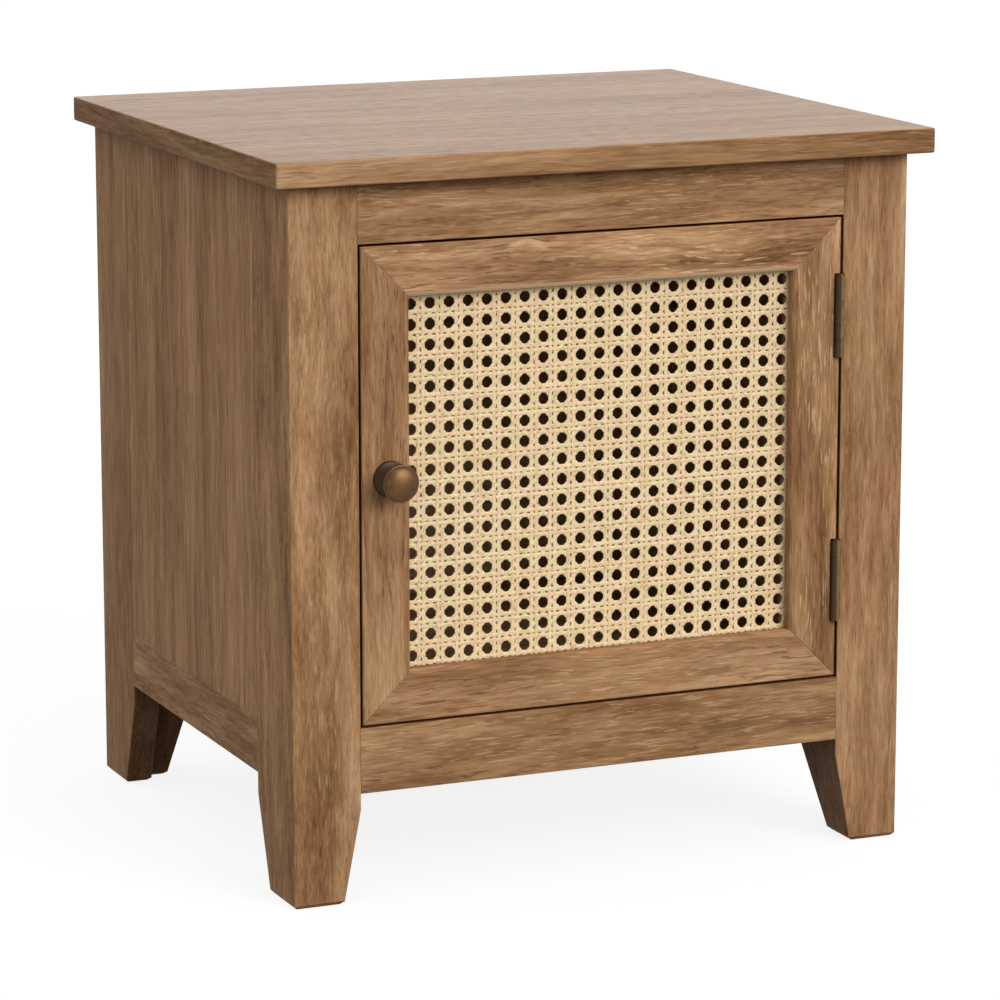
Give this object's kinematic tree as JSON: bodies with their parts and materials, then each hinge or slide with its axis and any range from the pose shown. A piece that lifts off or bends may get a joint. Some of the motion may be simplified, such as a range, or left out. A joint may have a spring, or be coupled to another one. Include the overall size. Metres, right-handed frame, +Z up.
{
  "type": "storage side table",
  "caption": "Square wooden side table on tapered corner posts, with one compartment behind a framed cane door on butt hinges with a round knob.",
  "frame": {"origin": "on the floor, under the middle of the table's width and of its depth, which is counted from the knob to the back edge of the top", "axes": "+Z up, +X to the right of someone facing the door, -Y out of the door"},
  "size_m": [0.535, 0.474, 0.56],
  "materials": {
    "wood": "wire-brushed, brown stain, matte",
    "plywood": "sanded veneer, matte",
    "dowel_wood": "plain turned wood",
    "cane": "natural woven cane, satin",
    "bronze": "oiled dark bronze, satin",
    "dark_bronze": "dark bronze, satin",
    "catch_case": "moulded brown plastic",
    "steel": "zinc plated"
  },
  "bodies": {
    "carcass": {"table_top": "wood", "front_left_post": "wood", "front_right_post": "wood", "back_left_post": "wood", "back_right_post": "wood", "front_top_rail": "wood", "front_bottom_rail": "wood", "back_top_rail": "wood", "back_bottom_rail": "wood", "left_side_rail": "wood", "right_side_rail": "wood", "left_side_panel": "wood", "right_side_panel": "wood", "left_top_cleat": "wood", "right_top_cleat": "wood", "left_floor_cleat": "wood", "right_floor_cleat": "wood", "back_panel": "plywood", "back_panel_screws": "steel", "cabinet_floor": "wood", "rail_dowels": "dowel_wood", "top_screws": "steel", "upper_hinge_frame_leaf": "dark_bronze", "lower_hinge_frame_leaf": "dark_bronze", "upper_hinge_pin": "dark_bronze", "lower_hinge_pin": "dark_bronze", "frame_hinge_screws": "steel", "magnetic_catch": "catch_case", "catch_screws": "steel"},
    "door": {"door_left_stile": "wood", "door_right_stile": "wood", "door_top_rail": "wood", "door_bottom_rail": "wood", "mitre_dowels": "dowel_wood", "cane_panel": "cane", "cane_beads": "wood", "door_knob": "bronze", "knob_screw": "steel", "upper_hinge_door_leaf": "dark_bronze", "lower_hinge_door_leaf": "dark_bronze", "door_hinge_screws": "steel", "catch_plate": "steel", "catch_plate_screw": "steel"}
  },
  "joints": [
    {"name": "door_hinge", "type": "hinge", "parent": "carcass", "child": "door", "pos_m": [0.1955, -0.211, 0.31475], "axis": [0, 0, 1], "range_deg": [0, 175]}
  ]
}
